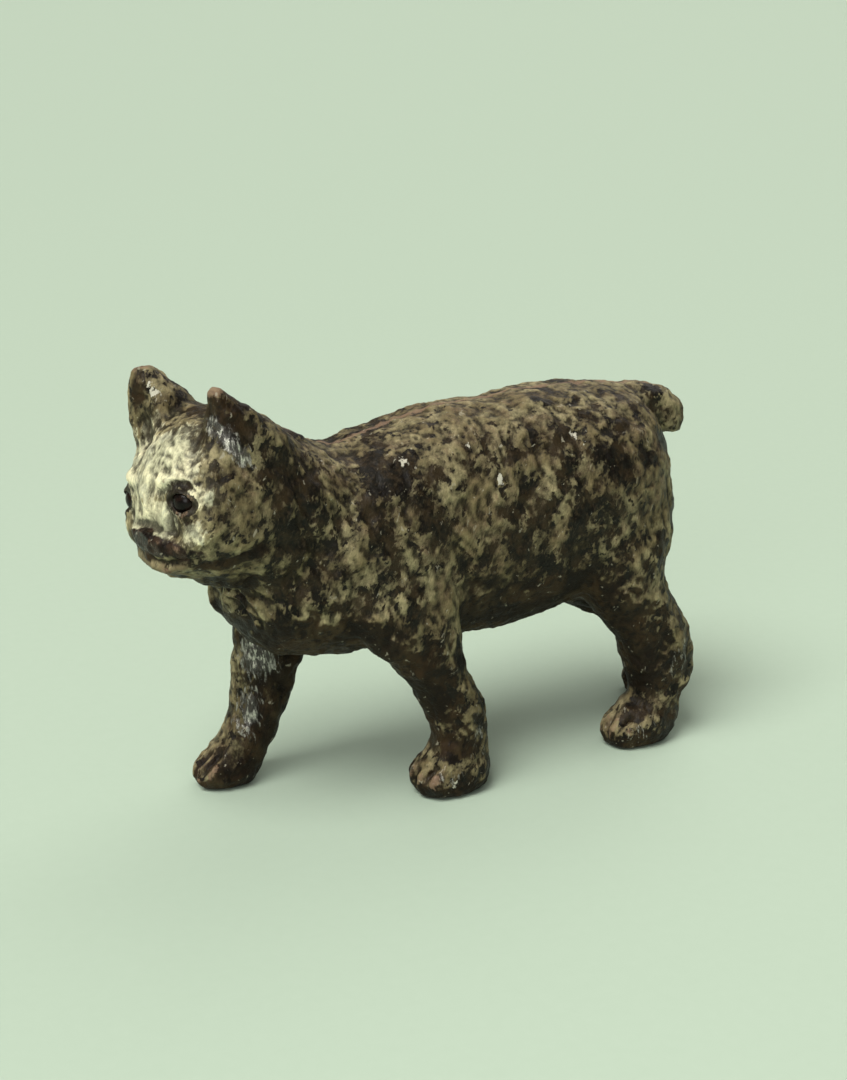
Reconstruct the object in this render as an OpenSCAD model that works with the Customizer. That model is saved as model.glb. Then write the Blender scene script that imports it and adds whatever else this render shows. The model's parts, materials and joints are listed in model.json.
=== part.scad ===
// Cast-iron coin bank in the form of a walking bobtail cat.
// Two half castings meet on the middle plane (Y = 0) and are drawn together by two machine
// screws, which pass through the right half into square nuts held in the left half.
// The cat faces -X and stands on Z = 0; its left side is -Y.

/* [Overall size] */
// Length from the muzzle to the stretched hind foot
length = 150; // [125:1:182]
// Width across the haunches
width = 44; // [40:1:54]
// Height to the taller ear's tip
height = 98; // [86:1:118]

/* [Casting] */
// Thickness of the hollow body's wall
wall = 3; // [2.4:0.1:3.8]
// Gap between the two halves at the seam
seam_gap = 0.1; // [0.05:0.05:0.3]
// Radius of the screw posts inside the halves
post_r = 7; // [6.6:0.1:8]

/* [Coin slot] */
// Length of the slot, along the back
slot_length = 30; // [24:1:36]
// Width of the slot
slot_width = 4.4; // [4.2:0.1:5.4]
// Distance from the seam to the slot's nearer edge
slot_offset = 6.8; // [5.5:0.1:8]
// Start of the slot behind the chest screw
slot_start = 26; // [20:1:30]

/* [Screws and nuts] */
// Major diameter of the machine screws
screw_d = 4.2; // [3.5:0.1:5.1]
// Clearance of a screw in its hole, on the radius
screw_clearance = 0.2; // [0.1:0.05:0.3]
// Running clearance of a screw in its nut, on the radius
thread_clearance = 0.05; // [0.03:0.01:0.08]
// Diameter of the screw head
head_d = 8; // [6.6:0.1:9.8]
// Height of the screw head
head_h = 2.6; // [2:0.1:3]
// Clearance of the head in its recess, on the radius
head_clearance = 0.35; // [0.2:0.05:0.5]
// Width of the driver slot
driver_w = 1.2; // [0.8:0.1:1.4]
// Depth of the driver slot
driver_depth = 1.3; // [0.8:0.1:1.5]
// Depth of metal under the screw head, from the seam
grip = 15.5; // [14:0.5:16.5]
// Length of screw that shows beyond the nut
screw_tail = 3.4; // [2:0.1:6]
// Width of the square nuts across their flats
nut_width = 7; // [5.8:0.1:8.6]
// Thickness of the nuts
nut_h = 3.2; // [2.8:0.1:4]
// Clearance round a nut in its pocket
nut_clearance = 0.15; // [0.1:0.05:0.25]

/* [Eyes] */
// Diameter of the glass eyes
eye_d = 4.8; // [4:0.1:5.6]
// Bedding gap round an eye in its socket
eye_clearance = 0.05; // [0.03:0.01:0.1]

/* [Hidden] */

// The tables below are drawn at these sizes and scaled to the driving ones.
drawn_length = 150.25;
drawn_width = 44;
drawn_height = 98.2;
// The drawn cat's middle along X, which becomes the origin.
drawn_middle = 9.92;
// Scales from the drawn sizes to the driving ones.
kx = length / drawn_length;
ky = width / drawn_width;
kz = height / drawn_height;
// Reach of the cutting solids, past any side of the cat.
far = 200;
// How far a cut runs past the face that it opens.
over = 1;
// Points on a ring of the body and of a limb, and rings put between two given ones.
ring_sides = 28;
limb_sides = 18;
steps = 2;
round_sides = 48;
// Height at which the cut for the coin slot starts, inside the hollow.
slot_floor = 0.7 * height;

// Rings across the body: x, y, z, half width, rise, drop, lean, roundness.
torso = [
    [-47, 1, 54, 4, 4, 4, 0, 2],
    [-44.5, 1, 53.5, 10.5, 9, 9.5, 0, 2.1],
    [-39, 0, 52.5, 16, 15, 15.5, 0, 2.1],
    [-30, 0, 54, 19, 19, 20, 0, 2.2],
    [-18, 0, 56, 20.5, 22.5, 23, 0, 2.2],
    [-6, 0, 57.5, 20, 24.5, 24.5, 0, 2.2],
    [8, 0, 58.5, 19.5, 26, 26.5, 0, 2.2],
    [20, 0, 60, 20, 25, 28.5, 0, 2.2],
    [32, 0, 61, 21.5, 24.5, 27.5, 0, 2.2],
    [46, 0, 61.5, 22, 23.5, 25.5, 0, 2.2],
    [56, 0, 60, 19, 23.5, 21.5, 0, 2.2],
    [63, 0, 57, 13.5, 21, 17, 0, 2.1],
    [66.5, 0, 56, 6, 13, 10, 0, 2]
];
neck_and_head = [
    [-10, 0, 63, 15, 16, 18, 0, 2.2],
    [-22, 0, 63, 16.5, 16.5, 20, 0, 2.2],
    [-31, 0, 66, 18, 18.5, 22, 0, 2.2],
    [-39, -0.5, 70, 19, 19, 21, 0, 2.2],
    [-47, -1, 72, 19.5, 18.5, 18, 0, 2.2],
    [-54, -2, 72, 18.5, 17.5, 16, 0, 2.3],
    [-59.5, -2.5, 71.5, 14.5, 13.5, 14, 0, 2.3],
    [-62.5, -2.5, 71, 10, 9.5, 11, 0, 2.2],
    [-64, -2.5, 70.5, 5, 5, 6, 0, 2]
];
muzzle = [
    [-46, -3, 65, 12, 6, 7.5, 0, 2.2],
    [-54, -4.5, 64.5, 12, 6, 6.5, 0, 2.4],
    [-60, -5.5, 64.5, 10.5, 5.5, 5.5, 0, 2.4],
    [-63.8, -6, 64.5, 7.5, 4.6, 4.6, 0, 2.2],
    [-65.2, -6, 64.5, 3, 2.2, 2.2, 0, 2]
];
bobtail = [
    [54, 0, 77.5, 6, 5.5, 6, 0, 2],
    [61, 0, 78.5, 6, 5.2, 6, 8, 2],
    [66.5, -0.3, 77.6, 5.8, 5, 5.6, 32, 2],
    [70, -0.6, 74.6, 5.5, 4.6, 5.4, 66, 2],
    [70.8, -0.6, 70.6, 4.4, 3, 3.8, 88, 2]
];
// Level rings down a leg or up an ear: x, y, z, half length, half width, roundness.
front_left_leg = [
    [-10, -13, 56, 14, 7.5, 2.2],
    [-11, -14.5, 46, 14.5, 7.2, 2.2],
    [-8, -15, 38, 12, 6.8, 2.2],
    [-4, -15, 31, 8.4, 6.4, 2.2],
    [0.4, -15, 24, 7.2, 6, 2.2],
    [3.6, -15, 17, 6.9, 5.7, 2.2],
    [3.6, -15, 11, 6.8, 6, 2.2],
    [1.8, -15, 7, 8.6, 6.7, 2.3],
    [1.6, -15, 3, 9.5, 7, 2.4],
    [1.6, -15, 0, 8, 5.6, 2.4]
];
front_right_leg = [
    [-22, 13, 56, 12, 7.5, 2.2],
    [-25, 14, 44, 11, 7.2, 2.2],
    [-27, 14, 34, 9.4, 6.6, 2.2],
    [-29, 14, 26, 7.8, 6, 2.2],
    [-31, 14, 18, 6.8, 5.8, 2.2],
    [-34, 14, 11, 6.8, 5.8, 2.2],
    [-38.5, 14, 6, 8, 6.2, 2.3],
    [-40, 14, 2.5, 7.8, 6.4, 2.4],
    [-40, 14, 0, 6.4, 5, 2.4]
];
hind_left_leg = [
    [48, -11, 62, 14.5, 9, 2.2],
    [47.8, -12.5, 52, 14.3, 9, 2.2],
    [47.3, -13.3, 46, 13.2, 8.6, 2.2],
    [48, -13.5, 41.5, 11.6, 8.2, 2.2],
    [51.3, -13.8, 36, 10.6, 7.8, 2.2],
    [54.4, -14, 31.5, 10.8, 7.3, 2.2],
    [57.6, -14.5, 26, 10, 6.6, 2.2],
    [59.6, -14.5, 20, 9.4, 6.2, 2.2],
    [60.4, -14.5, 15, 8.4, 6, 2.2],
    [58.6, -14.5, 11.5, 6.8, 5.8, 2.2],
    [56.8, -14.5, 8.5, 8.2, 6.1, 2.3],
    [54.4, -14.5, 4.5, 9.6, 6.8, 2.4],
    [54, -14.5, 0, 8.2, 5.4, 2.4]
];
hind_right_leg = [
    [50, 11, 62, 15, 9, 2.2],
    [52, 11.5, 50, 15, 8.5, 2.2],
    [55, 11, 40, 15, 8, 2.2],
    [58.5, 10.5, 33, 15.5, 7.5, 2.2],
    [63, 10.5, 28, 13, 7, 2.2],
    [70, 10.5, 23, 10.5, 6.2, 2.2],
    [77, 10.5, 18.5, 6.6, 5.6, 2.2],
    [79, 10.5, 14, 5.8, 5.4, 2.2],
    [78.8, 10.5, 9, 6.2, 5.6, 2.3],
    [77, 10.5, 4, 7.6, 6, 2.4],
    [76.5, 10.5, 0, 6.4, 5, 2.4]
];
left_ear = [
    [-45, -11, 78, 12, 7, 2.2],
    [-45, -11.8, 85, 9.8, 5.8, 2.2],
    [-47.6, -12.2, 90, 6.4, 4.4, 2.1],
    [-50.3, -12.4, 94, 3.3, 2.9, 2],
    [-52.2, -12.5, 97, 1.2, 1.3, 2]
];
right_ear = [
    [-49, 8, 78, 10, 9, 2.2],
    [-51.5, 9.6, 85, 8.6, 8, 2.2],
    [-53.5, 10.4, 90, 6.9, 6.6, 2.2],
    [-55.4, 10.7, 94, 4.9, 5, 2.1],
    [-56.4, 10.8, 97, 2.9, 3.2, 2],
    [-56.8, 10.8, 98.2, 1.1, 1.3, 2]
];
// Screw axes run along Y through these places.
chest_axis = [-27, 50];
rump_axis = [50, 60];
// Where the eyes' centres lie, just inside the face.
left_eye_at = [-59.8, -14.3, 75.4];
right_eye_at = [-62.1, 6.1, 71.4];

// A point of the tables, brought to the driving sizes.
function to_size(p) = [(p[0] - drawn_middle) * kx, p[1] * ky, p[2] * kz];
chest_post = [to_size([chest_axis[0], 0, 0])[0], to_size([0, 0, chest_axis[1]])[2]];
rump_post = [to_size([rump_axis[0], 0, 0])[0], to_size([0, 0, rump_axis[1]])[2]];
pocket = nut_width + 2 * nut_clearance;

head_recess_r = head_d / 2 + head_clearance;
bore_r = screw_d / 2 + screw_clearance;
nut_back = seam_gap + nut_h;
screw_tip = nut_back + screw_tail;
// Room past a screw's tip, and the bevel on it.
tip_room = 1.5;
tip_chamfer = 0.8;

function power(v, p) = sign(v) * pow(abs(v), p);

// A superellipse ring that faces along X, leaning back by its angle.
function cross_ring(s, inset, sides) = [
    for (i = [0 : sides - 1])
        let (
            a = 360 * i / sides,
            w = max(s[3] - inset, 0.5) * power(cos(a), 2 / s[7]),
            v = power(sin(a), 2 / s[7]) * max((sin(a) > 0 ? s[4] : s[5]) - inset, 0.5)
        )
        [s[0] + v * sin(s[6]), s[1] + w, s[2] + v * cos(s[6])]
];

// A level superellipse ring.
function level_ring(s, sides) = [
    for (i = [0 : sides - 1])
        let (a = 360 * i / sides)
        [s[0] + s[3] * power(cos(a), 2 / s[5]), s[1] + s[4] * power(sin(a), 2 / s[5]), s[2]]
];

// Rings put between the given ones on a smooth curve through them.
function between(p0, p1, p2, p3, t) =
    0.5 * (2 * p1 + (p2 - p0) * t + (2 * p0 - 5 * p1 + 4 * p2 - p3) * t * t
        + (3 * p1 - p0 - 3 * p2 + p3) * t * t * t);
function smooth_rings(r) = [
    for (i = [0 : len(r) - 2])
        for (j = [0 : steps - 1])
            between(r[max(i - 1, 0)], r[i], r[i + 1], r[min(i + 2, len(r) - 1)], j / steps),
    r[len(r) - 1]
];

// A closed solid through a stack of rings, scaled to the driving sizes. The rings' own order
// turns the faces outwards; flip is for a stack that runs the other way.
module loft(rings, flip = false) {
    n = len(rings[0]);
    m = len(rings);
    points = [for (r = rings) for (p = r) to_size(p)];
    sides = [for (i = [0 : m - 2]) for (j = [0 : n - 1])
        let (a = i * n + j, b = i * n + (j + 1) % n)
        [a, b, b + n, a + n]];
    ends = [[for (j = [0 : n - 1]) n - 1 - j], [for (j = [0 : n - 1]) (m - 1) * n + j]];
    faces = concat(sides, ends);
    polyhedron(points, flip ? [for (f = faces) [for (k = [len(f) - 1 : -1 : 0]) f[k]]] : faces, 4);
}

module body_loft(table, inset, first, last, flip) {
    loft(smooth_rings([for (i = [first : last]) cross_ring(table[i], inset, ring_sides)]), flip);
}

// The whole cat as one skin.
module outside() {
    body_loft(torso, 0, 0, len(torso) - 1, true);
    body_loft(neck_and_head, 0, 0, len(neck_and_head) - 1, false);
    body_loft(muzzle, 0, 0, len(muzzle) - 1, false);
    body_loft(bobtail, 0, 0, len(bobtail) - 1, true);
    for (leg = [front_left_leg, front_right_leg, hind_left_leg, hind_right_leg])
        loft(smooth_rings([for (s = leg) level_ring(s, limb_sides)]));
    for (ear = [left_ear, right_ear])
        loft(smooth_rings([for (s = ear) level_ring(s, limb_sides)]), true);
}

// The hollow for the coins follows the torso and the neck, one wall thickness in. It stops
// short of the ends, which stay thick.
module hollow() {
    body_loft(torso, wall, 2, len(torso) - 3, true);
    body_loft(neck_and_head, wall, 1, len(neck_and_head) - 4, false);
}

// Everything on one side of the seam: -1 is left, 1 is right.
module side_of_seam(side, gap) {
    translate([-far, side > 0 ? gap : -far - gap, -over]) cube([2 * far, far, far]);
}

// A rod along Y on a screw's axis, from one distance past the seam to another.
module rod(place, from, to, r) {
    translate([place[0], from, place[1]]) rotate([-90, 0, 0])
        cylinder(r = r, h = to - from, $fn = round_sides);
}

// One thick half casting with its screw posts. resize() keeps the size and joins the lofts
// into one skin before the bores are cut.
module half_skin(side) {
    resize([0, 0, 0]) intersection() {
        union() {
            difference() {
                outside();
                hollow();
            }
            intersection() {
                outside();
                for (place = [chest_post, rump_post])
                    rod(place, side > 0 ? 0 : -far, side > 0 ? far : 0, post_r);
            }
        }
        side_of_seam(side, seam_gap / 2);
    }
}

module eye_ball(place, r) {
    translate(to_size(place)) sphere(r = r, $fn = round_sides);
}

// The left half: blind screw holes and square nut pockets that open at the seam.
module left_half() {
    color([0.36, 0.34, 0.25]) difference() {
        half_skin(-1);
        for (place = [chest_post, rump_post]) {
            rod(place, -screw_tip - tip_room, over, bore_r);
            translate([place[0] - pocket / 2, -nut_back, place[1] - pocket / 2])
                cube([pocket, nut_back + over, pocket]);
        }
        eye_ball(left_eye_at, eye_d / 2 + eye_clearance);
    }
}

// The right half: through holes with recesses for the heads, and the coin slot.
module right_half() {
    color([0.34, 0.32, 0.24]) difference() {
        half_skin(1);
        for (place = [chest_post, rump_post]) {
            rod(place, -over, grip + over, bore_r);
            rod(place, grip, far, head_recess_r);
        }
        translate([chest_post[0] + slot_start, slot_offset, slot_floor])
            cube([slot_length, slot_width, height]);
        eye_ball(right_eye_at, eye_d / 2 + eye_clearance);
    }
}

module left_eye() {
    color([0.06, 0.04, 0.03]) eye_ball(left_eye_at, eye_d / 2);
}

module right_eye() {
    color([0.06, 0.04, 0.03]) eye_ball(right_eye_at, eye_d / 2);
}

// A slotted round-head machine screw; its thread is drawn plain at the major diameter.
module machine_screw(place) {
    color([0.42, 0.4, 0.36]) translate([place[0], grip, place[1]]) rotate([90, 0, 0]) {
        shank = grip + screw_tip;
        cylinder(d = screw_d, h = shank - tip_chamfer, $fn = round_sides);
        translate([0, 0, shank - tip_chamfer])
            cylinder(d1 = screw_d, d2 = screw_d - 2 * tip_chamfer, h = tip_chamfer, $fn = round_sides);
        difference() {
            mirror([0, 0, 1]) cylinder(d = head_d, h = head_h, $fn = round_sides);
            translate([-head_d, -driver_w / 2, -head_h - over])
                cube([2 * head_d, driver_w, driver_depth + over]);
        }
    }
}

module square_nut(place) {
    color([0.5, 0.48, 0.44]) difference() {
        translate([place[0] - nut_width / 2, -nut_back + nut_clearance, place[1] - nut_width / 2])
            cube([nut_width, nut_h - nut_clearance, nut_width]);
        rod(place, -far, far, screw_d / 2 + thread_clearance);
    }
}

module chest_screw() { machine_screw(chest_post); }
module rump_screw() { machine_screw(rump_post); }
module chest_nut() { square_nut(chest_post); }
module rump_nut() { square_nut(rump_post); }

left_half();
right_half();
left_eye();
right_eye();
chest_screw();
rump_screw();
chest_nut();
rump_nut();
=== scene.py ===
"""Looks of a cast-iron coin bank in the form of a walking bobtail cat.

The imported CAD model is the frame. The two half castings are worked out again here as one
sculpted skin, hollowed and cut along the seam, and the eyes, screws and nuts are made in
detail at the places that the frame gives.
"""

import json
import math

import bmesh
import bpy
import numpy as np
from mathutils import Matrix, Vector


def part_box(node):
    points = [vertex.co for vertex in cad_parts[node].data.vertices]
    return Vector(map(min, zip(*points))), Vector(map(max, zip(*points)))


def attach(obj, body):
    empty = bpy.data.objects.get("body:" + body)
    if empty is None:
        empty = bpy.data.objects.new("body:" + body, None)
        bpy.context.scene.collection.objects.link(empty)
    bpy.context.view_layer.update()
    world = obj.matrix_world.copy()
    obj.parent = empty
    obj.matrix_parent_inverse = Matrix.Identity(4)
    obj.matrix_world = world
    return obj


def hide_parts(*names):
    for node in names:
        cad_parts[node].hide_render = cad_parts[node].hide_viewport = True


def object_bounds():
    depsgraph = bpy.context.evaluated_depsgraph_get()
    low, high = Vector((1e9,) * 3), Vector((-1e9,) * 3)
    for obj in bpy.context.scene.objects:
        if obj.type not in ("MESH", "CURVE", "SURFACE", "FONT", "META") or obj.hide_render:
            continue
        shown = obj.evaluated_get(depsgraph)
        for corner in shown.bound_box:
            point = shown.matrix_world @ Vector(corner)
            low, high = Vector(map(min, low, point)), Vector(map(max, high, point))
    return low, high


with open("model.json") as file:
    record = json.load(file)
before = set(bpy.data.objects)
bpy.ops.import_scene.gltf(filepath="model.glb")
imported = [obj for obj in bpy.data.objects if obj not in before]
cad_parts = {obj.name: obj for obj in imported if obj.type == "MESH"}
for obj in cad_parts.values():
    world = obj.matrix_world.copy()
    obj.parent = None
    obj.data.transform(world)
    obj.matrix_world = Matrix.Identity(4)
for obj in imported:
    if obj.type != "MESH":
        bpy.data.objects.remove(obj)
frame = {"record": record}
cad_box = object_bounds()

MM = 0.001
rng = np.random.default_rng(7)

# ---------------------------------------------------------------- sizes from the frame

DRAWN = np.array([150.25, 44.06, 98.2])  # the size at which the tables are drawn, in mm
DRAWN_MIDDLE = np.array([9.92, 0.0, 0.0])
low, high = (np.array(corner) for corner in cad_box)
STRETCH = (high - low) / (DRAWN * MM)


def placed(points):
    """Drawn millimetres to metres in the frame: less the middle, times the frame's size."""
    return (np.asarray(points, float) - DRAWN_MIDDLE) * STRETCH * MM


def drawn(points):
    """Metres in the frame back to drawn millimetres."""
    return np.asarray(points, float) / (STRETCH * MM) + DRAWN_MIDDLE


def middle(node):
    """The middle of a node's box, in drawn millimetres."""
    a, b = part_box(node)
    return drawn((np.array(a) + np.array(b)) / 2)


# ---------------------------------------------------------------- tables of the cat's form

# Rings across the body: x, y, z, half width, rise, drop, lean in degrees, roundness.
TORSO = [
    [-47, 1, 54, 4, 4, 4, 0, 2],
    [-44.5, 1, 53.5, 10.5, 9, 9.5, 0, 2.1],
    [-39, 0, 52.5, 16, 15, 15.5, 0, 2.1],
    [-30, 0, 54, 19, 19, 20, 0, 2.2],
    [-18, 0, 56, 20.5, 22.5, 23, 0, 2.2],
    [-6, 0, 57.5, 20, 24.5, 24.5, 0, 2.2],
    [8, 0, 58.5, 19.5, 26, 26.5, 0, 2.2],
    [20, 0, 60, 20, 25, 28.5, 0, 2.2],
    [32, 0, 61, 21.5, 24.5, 27.5, 0, 2.2],
    [46, 0, 61.5, 22, 23.5, 25.5, 0, 2.2],
    [56, 0, 60, 19, 23.5, 21.5, 0, 2.2],
    [63, 0, 57, 13.5, 21, 17, 0, 2.1],
    [66.5, 0, 56, 6, 13, 10, 0, 2],
]
NECK_AND_HEAD = [
    [-10, 0, 63, 15, 16, 18, 0, 2.2],
    [-22, 0, 63, 16.5, 16.5, 20, 0, 2.2],
    [-31, 0, 66, 18, 18.5, 22, 0, 2.2],
    [-39, -0.5, 70, 19, 19, 21, 0, 2.2],
    [-47, -1, 72, 19.5, 18.5, 18, 0, 2.2],
    [-54, -2, 72, 18.5, 17.5, 16, 0, 2.3],
    [-59.5, -2.5, 71.5, 14.5, 13.5, 14, 0, 2.3],
    [-62.5, -2.5, 71, 10, 9.5, 11, 0, 2.2],
    [-64, -2.5, 70.5, 5, 5, 6, 0, 2],
]
MUZZLE = [
    [-46, -3, 65, 12, 6, 7.5, 0, 2.2],
    [-54, -4.5, 64.5, 12, 6, 6.5, 0, 2.4],
    [-60, -5.5, 64.5, 10.5, 5.5, 5.5, 0, 2.4],
    [-63.8, -6, 64.5, 7.5, 4.6, 4.6, 0, 2.2],
    [-65.2, -6, 64.5, 3, 2.2, 2.2, 0, 2],
]
BOBTAIL = [
    [54, 0, 77.5, 6, 5.5, 6, 0, 2],
    [61, 0, 78.5, 6, 5.2, 6, 8, 2],
    [66.5, -0.3, 77.6, 5.8, 5, 5.6, 32, 2],
    [70, -0.6, 74.6, 5.5, 4.6, 5.4, 66, 2],
    [70.8, -0.6, 70.6, 4.4, 3, 3.8, 88, 2],
]
# Level rings down a leg or up an ear: x, y, z, half length, half width, roundness.
FRONT_LEFT_LEG = [
    [-10, -13, 56, 14, 7.5, 2.2],
    [-11, -14.5, 46, 14.5, 7.2, 2.2],
    [-8, -15, 38, 12, 6.8, 2.2],
    [-4, -15, 31, 8.4, 6.4, 2.2],
    [0.4, -15, 24, 7.2, 6, 2.2],
    [3.6, -15, 17, 6.9, 5.7, 2.2],
    [3.6, -15, 11, 6.8, 6, 2.2],
    [1.8, -15, 7, 8.6, 6.7, 2.3],
    [1.6, -15, 3, 9.5, 7, 2.4],
    [1.6, -15, 0, 8, 5.6, 2.4],
]
FRONT_RIGHT_LEG = [
    [-22, 13, 56, 12, 7.5, 2.2],
    [-25, 14, 44, 11, 7.2, 2.2],
    [-27, 14, 34, 9.4, 6.6, 2.2],
    [-29, 14, 26, 7.8, 6, 2.2],
    [-31, 14, 18, 6.8, 5.8, 2.2],
    [-34, 14, 11, 6.8, 5.8, 2.2],
    [-38.5, 14, 6, 8, 6.2, 2.3],
    [-40, 14, 2.5, 7.8, 6.4, 2.4],
    [-40, 14, 0, 6.4, 5, 2.4],
]
HIND_LEFT_LEG = [
    [48, -11, 62, 14.5, 9, 2.2],
    [47.8, -12.5, 52, 14.3, 9, 2.2],
    [47.3, -13.3, 46, 13.2, 8.6, 2.2],
    [48, -13.5, 41.5, 11.6, 8.2, 2.2],
    [51.3, -13.8, 36, 10.6, 7.8, 2.2],
    [54.4, -14, 31.5, 10.8, 7.3, 2.2],
    [57.6, -14.5, 26, 10, 6.6, 2.2],
    [59.6, -14.5, 20, 9.4, 6.2, 2.2],
    [60.4, -14.5, 15, 8.4, 6, 2.2],
    [58.6, -14.5, 11.5, 6.8, 5.8, 2.2],
    [56.8, -14.5, 8.5, 8.2, 6.1, 2.3],
    [54.4, -14.5, 4.5, 9.6, 6.8, 2.4],
    [54, -14.5, 0, 8.2, 5.4, 2.4],
]
HIND_RIGHT_LEG = [
    [50, 11, 62, 15, 9, 2.2],
    [52, 11.5, 50, 15, 8.5, 2.2],
    [55, 11, 40, 15, 8, 2.2],
    [58.5, 10.5, 33, 15.5, 7.5, 2.2],
    [63, 10.5, 28, 13, 7, 2.2],
    [70, 10.5, 23, 10.5, 6.2, 2.2],
    [77, 10.5, 18.5, 6.6, 5.6, 2.2],
    [79, 10.5, 14, 5.8, 5.4, 2.2],
    [78.8, 10.5, 9, 6.2, 5.6, 2.3],
    [77, 10.5, 4, 7.6, 6, 2.4],
    [76.5, 10.5, 0, 6.4, 5, 2.4],
]
LEFT_EAR = [
    [-45, -11, 78, 12, 7, 2.2],
    [-45, -11.8, 85, 9.8, 5.8, 2.2],
    [-47.6, -12.2, 90, 6.4, 4.4, 2.1],
    [-50.3, -12.4, 94, 3.3, 2.9, 2],
    [-52.2, -12.5, 97, 1.2, 1.3, 2],
]
RIGHT_EAR = [
    [-49, 8, 78, 10, 9, 2.2],
    [-51.5, 9.6, 85, 8.6, 8, 2.2],
    [-53.5, 10.4, 90, 6.9, 6.6, 2.2],
    [-55.4, 10.7, 94, 4.9, 5, 2.1],
    [-56.4, 10.8, 97, 2.9, 3.2, 2],
    [-56.8, 10.8, 98.2, 1.1, 1.3, 2],
]
LEGS = [FRONT_LEFT_LEG, FRONT_RIGHT_LEG, HIND_LEFT_LEG, HIND_RIGHT_LEG]
EARS = [LEFT_EAR, RIGHT_EAR]

WALL = 3.0
POST_R = 7.0
SEAM_GAP = 0.02
VOXEL = 0.49

# ---------------------------------------------------------------- surfaces


def power(v, p):
    """Signed power, which squares off a circle into a superellipse."""
    return np.sign(v) * np.abs(v) ** p


def cross_rings(table, inset=0.0, sides=72):
    """Superellipse rings facing along X: y = w cos^(2/n), v = h sin^(2/n), leaning by an angle."""
    t = np.linspace(0, 2 * np.pi, sides, endpoint=False)[None, :]
    x, y, z, w, up, down, lean, n = (np.array(c, float)[:, None] for c in zip(*table))
    across = np.maximum(w - inset, 0.5) * power(np.cos(t), 2 / n)
    rise = power(np.sin(t), 2 / n) * np.maximum(np.where(np.sin(t) > 0, up, down) - inset, 0.5)
    lean = np.radians(lean)
    return np.stack([x + rise * np.sin(lean), y + across, z + rise * np.cos(lean)], -1)


def level_rings(table, sides=56):
    """Level superellipse rings: x = a cos^(2/n), y = b sin^(2/n) about each centre."""
    t = np.linspace(0, 2 * np.pi, sides, endpoint=False)[None, :]
    x, y, z, a, b, n = (np.array(c, float)[:, None] for c in zip(*table))
    return np.stack([x + a * power(np.cos(t), 2 / n), y + b * power(np.sin(t), 2 / n),
                     z + 0 * t], -1)


def smoothed(rings, steps=6):
    """Catmull-Rom curves through matching points of the rings."""
    padded = np.concatenate([rings[:1], rings, rings[-1:]])
    p0, p1, p2, p3 = padded[:-3], padded[1:-2], padded[2:-1], padded[3:]
    t = (np.arange(steps) / steps)[None, :, None, None]
    p0, p1, p2, p3 = (p[:, None] for p in (p0, p1, p2, p3))
    curve = 0.5 * (2 * p1 + (p2 - p0) * t + (2 * p0 - 5 * p1 + 4 * p2 - p3) * t**2
                   + (3 * p1 - p0 - 3 * p2 + p3) * t**3)
    return np.concatenate([curve.reshape(-1, *rings.shape[1:]), rings[-1:]])


def tube_faces(m, n, first=0):
    """Quads of an m by n grid that closes round n, with a face over each end."""
    i, j = np.meshgrid(np.arange(m - 1), np.arange(n), indexing="ij")
    a, b = i * n + j, i * n + (j + 1) % n
    quads = (np.stack([a, b, b + n, a + n], -1).reshape(-1, 4) + first).tolist()
    ends = [(np.arange(n)[::-1] + first).tolist(), (np.arange(n) + (m - 1) * n + first).tolist()]
    return quads + ends


def mesh_of(name, points, faces):
    """A mesh from points in metres and faces that number them."""
    mesh = bpy.data.meshes.new(name)
    mesh.from_pydata(np.asarray(points).tolist(), [], faces)
    mesh.validate()
    return mesh


def object_of(name, mesh):
    piece = bpy.data.objects.new(name, mesh)
    bpy.context.scene.collection.objects.link(piece)
    return piece


def outward(piece):
    """Recalculates the normals of a closed mesh after its doubles are merged."""
    bm = bmesh.new()
    bm.from_mesh(piece.data)
    bmesh.ops.remove_doubles(bm, verts=bm.verts, dist=1e-7)
    bmesh.ops.recalc_face_normals(bm, faces=bm.faces)
    bm.to_mesh(piece.data)
    bm.free()


def lofts(name, stacks):
    """One object that holds a closed tube for each stack of rings, in the frame's metres."""
    points, faces, first = [], [], 0
    for rings in stacks:
        m, n = rings.shape[:2]
        points.append(placed(rings.reshape(-1, 3)))
        faces += tube_faces(m, n, first)
        first += m * n
    piece = object_of(name, mesh_of(name, np.concatenate(points), faces))
    outward(piece)
    return piece


def settled(piece):
    """Applies a piece's modifiers and leaves the result as its mesh."""
    shape = piece.evaluated_get(bpy.context.evaluated_depsgraph_get())
    mesh = bpy.data.meshes.new_from_object(shape)
    old = piece.data
    piece.modifiers.clear()
    piece.data = mesh
    bpy.data.meshes.remove(old)


def remeshed(piece, voxel):
    """Joins overlapping closed shells into one skin of even quads."""
    skin = piece.modifiers.new("join", "REMESH")
    skin.mode = "VOXEL"
    skin.voxel_size = voxel * MM
    settled(piece)


def cut(piece, tool, how):
    """One Boolean step with a closed tool, whose faces take the piece's second finish."""
    if len(piece.data.materials) > 1 and not any(tool.data.materials):
        tool.data.materials.clear()
        for finish in piece.data.materials:
            tool.data.materials.append(finish)
        sides = tool.data.polygons
        sides.foreach_set("material_index", np.ones(len(sides), np.int32))
        tool.data.update()
    step = piece.modifiers.new("cut", "BOOLEAN")
    step.solver = "MANIFOLD"
    step.operation = how
    step.object = tool
    settled(piece)


def dropped(*pieces):
    for piece in pieces:
        mesh = piece.data
        bpy.data.objects.remove(piece)
        bpy.data.meshes.remove(mesh)


# ---------------------------------------------------------------- work on whole arrays


def points_of(mesh):
    flat = np.empty(len(mesh.vertices) * 3)
    mesh.vertices.foreach_get("co", flat)
    return flat.reshape(-1, 3)


def put_points(mesh, points):
    mesh.vertices.foreach_set("co", np.ascontiguousarray(points, float).ravel())
    mesh.update()


def normals_of(mesh):
    flat = np.empty(len(mesh.vertices) * 3, np.float32)
    mesh.vertices.foreach_get("normal", flat)
    return flat.reshape(-1, 3).astype(float)


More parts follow.
